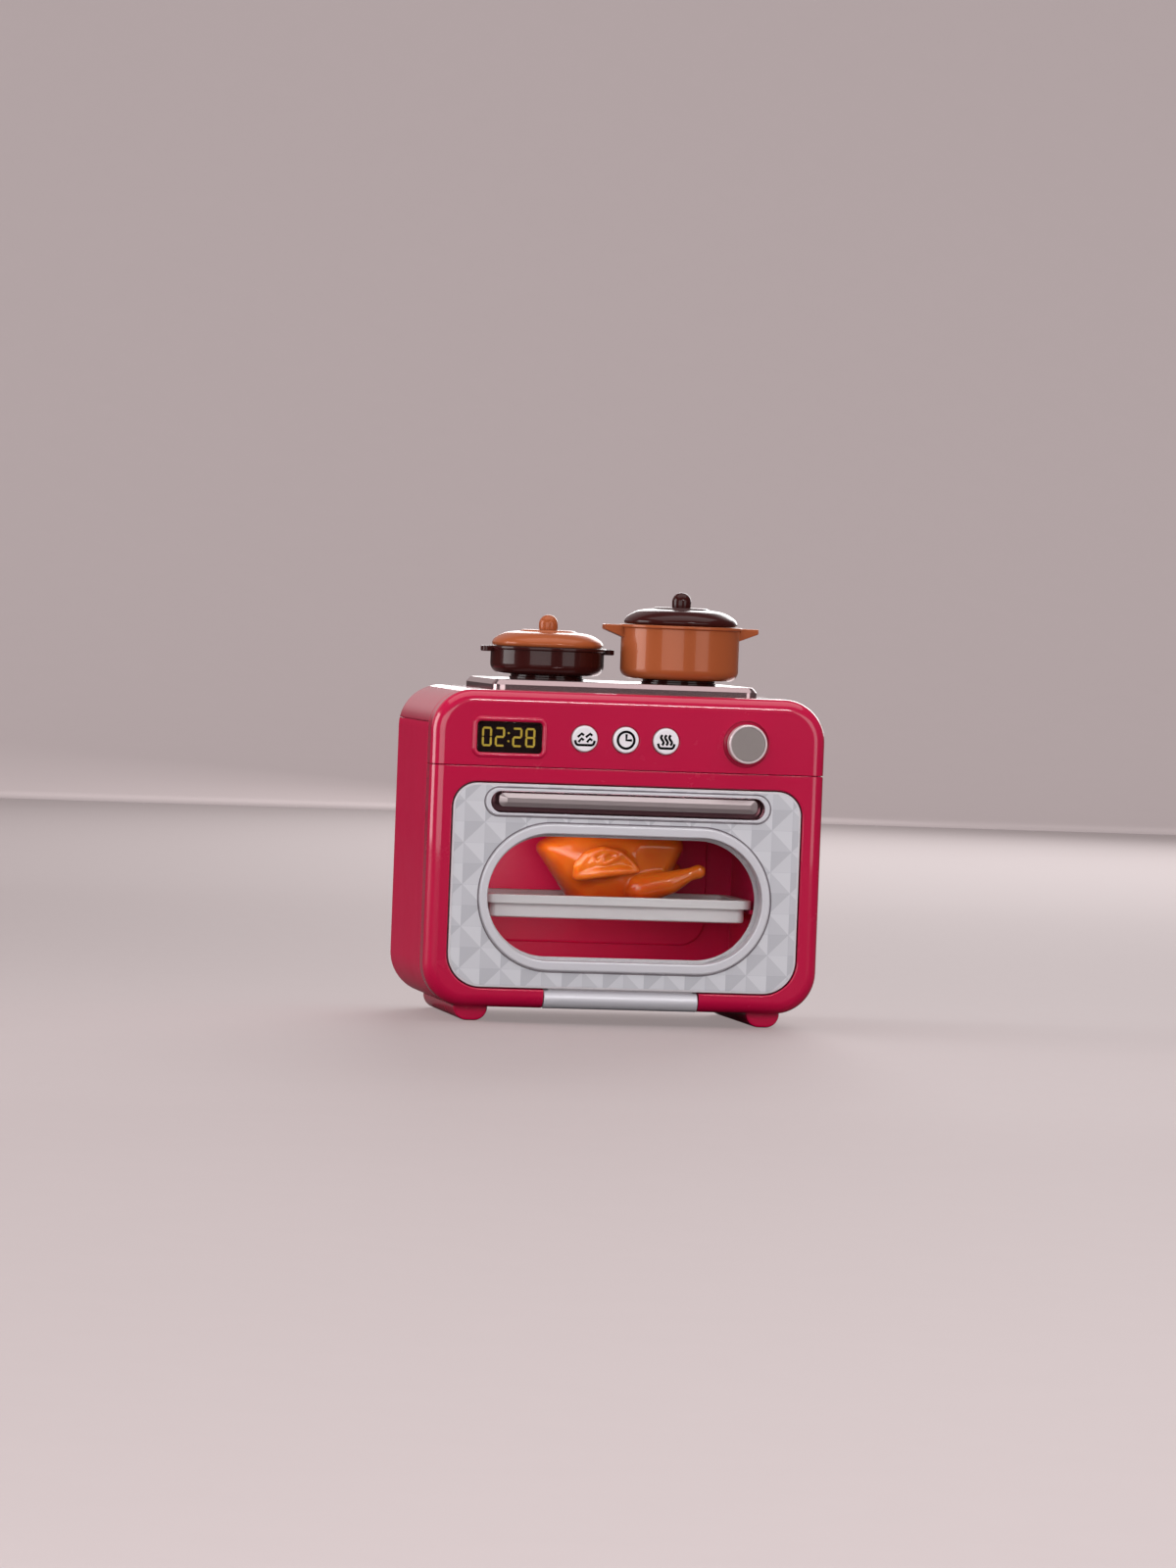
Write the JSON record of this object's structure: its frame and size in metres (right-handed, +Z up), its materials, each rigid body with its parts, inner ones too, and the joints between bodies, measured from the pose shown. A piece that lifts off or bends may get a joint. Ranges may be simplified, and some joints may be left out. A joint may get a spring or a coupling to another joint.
{
  "type": "toy oven",
  "caption": "Toy oven with drop-down windowed door, sliding tray with toy roast, press buttons, turning knob, display, and a hob with lidded pan and pot.",
  "frame": {"origin": "middle of the footprint box, on the plane the feet stand on", "axes": "+Z up, front with the door toward -Y, +X to the right seen from the front"},
  "size_m": [0.18, 0.1046, 0.1949],
  "materials": {
    "pink_plastic": "glossy",
    "white_plastic": "glossy",
    "print_film": "glossy film with a faceted print",
    "silver_plastic": "satin silver coating on plastic",
    "chrome_trim": "bright",
    "clear_pane": "clear plastic",
    "dark_enamel": "glossy",
    "copper_enamel": "pearly",
    "tray_silver": "satin silver coating on plastic",
    "roast_plastic": "slightly translucent",
    "smoked_lens": "smoked clear plastic",
    "digit_yellow": "printed",
    "board_green": "solder mask",
    "black_plastic": "satin",
    "steel": "plain",
    "cell_wrap": "printed wrap",
    "lamp_orange": "clear tinted plastic",
    "speaker_paper": "matte",
    "shaft_white": "moulded"
  },
  "bodies": {
    "housing": {"front_frame": "pink_plastic", "control_panel": "pink_plastic", "top_cover": "pink_plastic", "side_shell": "pink_plastic", "base_plate": "pink_plastic", "feet": "pink_plastic", "cavity_liner": "pink_plastic", "cavity_back": "pink_plastic", "tray_rails": "pink_plastic", "hob_plate": "silver_plastic", "left_burner": "dark_enamel", "right_burner": "dark_enamel", "display_lens": "smoked_lens", "display_card": "black_plastic", "display_digits": "digit_yellow", "control_board": "board_green", "button_switches": "black_plastic", "click_spring": "steel", "lamp_board": "board_green", "lamp_lens": "lamp_orange", "speaker_basket": "steel", "speaker_cone": "speaker_paper", "battery_box": "black_plastic", "contact_plates": "steel", "cell_left": "cell_wrap", "cell_middle": "cell_wrap", "cell_right": "cell_wrap", "battery_door": "pink_plastic", "battery_screw": "steel", "back_screws": "steel", "base_screws": "steel", "catch_magnet": "steel"},
    "door": {"door_panel": "white_plastic", "facet_film": "print_film", "door_back": "white_plastic", "window_bezel": "silver_plastic", "window_pane": "clear_pane", "handle_cup": "silver_plastic", "handle_bar": "chrome_trim", "hinge_barrel": "silver_plastic", "hinge_pins": "steel", "door_screws": "steel"},
    "tray": {"tray": "tray_silver"},
    "roast": {"roast": "roast_plastic"},
    "knob": {"knob_disc": "silver_plastic", "knob_ring": "chrome_trim", "knob_shaft": "shaft_white", "click_wheel": "shaft_white"},
    "button_wave": {"button_wave": "white_plastic"},
    "button_clock": {"button_clock": "white_plastic"},
    "button_steam": {"button_steam": "white_plastic"},
    "pan": {"pan": "dark_enamel"},
    "pan_lid": {"pan_lid": "copper_enamel", "pan_lid_knob": "copper_enamel"},
    "pot": {"pot": "copper_enamel"},
    "pot_lid": {"pot_lid": "dark_enamel", "pot_lid_knob": "dark_enamel"}
  },
  "joints": [
    {"name": "door_hinge", "type": "hinge", "parent": "housing", "child": "door", "pos_m": [0, -0.0434, 0.01085], "axis": [1, 0, 0], "range_deg": [0, 90]},
    {"name": "tray_slide", "type": "slide", "parent": "housing", "child": "tray", "axis": [0, -1, 0], "range_m": [0, 0.04]},
    {"name": "roast_lift", "type": "slide", "parent": "tray", "child": "roast", "axis": [0, 0, 1], "range_m": [0, 0.008]},
    {"name": "knob_turn", "type": "hinge", "parent": "housing", "child": "knob", "pos_m": [0.0529, -0.04775, 0.128], "axis": [0, 1, 0], "continuous": true},
    {"name": "press_wave", "type": "slide", "parent": "housing", "child": "button_wave", "axis": [0, 1, 0], "range_m": [0, 0.0012], "stiffness_N_per_m": 900, "springref_m": -0.0006},
    {"name": "press_clock", "type": "slide", "parent": "housing", "child": "button_clock", "axis": [0, 1, 0], "range_m": [0, 0.0012], "stiffness_N_per_m": 900, "springref_m": -0.0006},
    {"name": "press_steam", "type": "slide", "parent": "housing", "child": "button_steam", "axis": [0, 1, 0], "range_m": [0, 0.0012], "stiffness_N_per_m": 900, "springref_m": -0.0006},
    {"name": "pan_lift", "type": "slide", "parent": "housing", "child": "pan", "axis": [0, 0, 1], "range_m": [0, 0.06]},
    {"name": "pan_lid_lift", "type": "slide", "parent": "pan", "child": "pan_lid", "axis": [0, 0, 1], "range_m": [0, 0.04]},
    {"name": "pot_lift", "type": "slide", "parent": "housing", "child": "pot", "axis": [0, 0, 1], "range_m": [0, 0.06]},
    {"name": "pot_lid_lift", "type": "slide", "parent": "pot", "child": "pot_lid", "axis": [0, 0, 1], "range_m": [0, 0.04]}
  ],
  "couplings": [
    {"joint": "tray_slide", "follows": "door_hinge", "m_per_rad": 0.025}
  ]
}
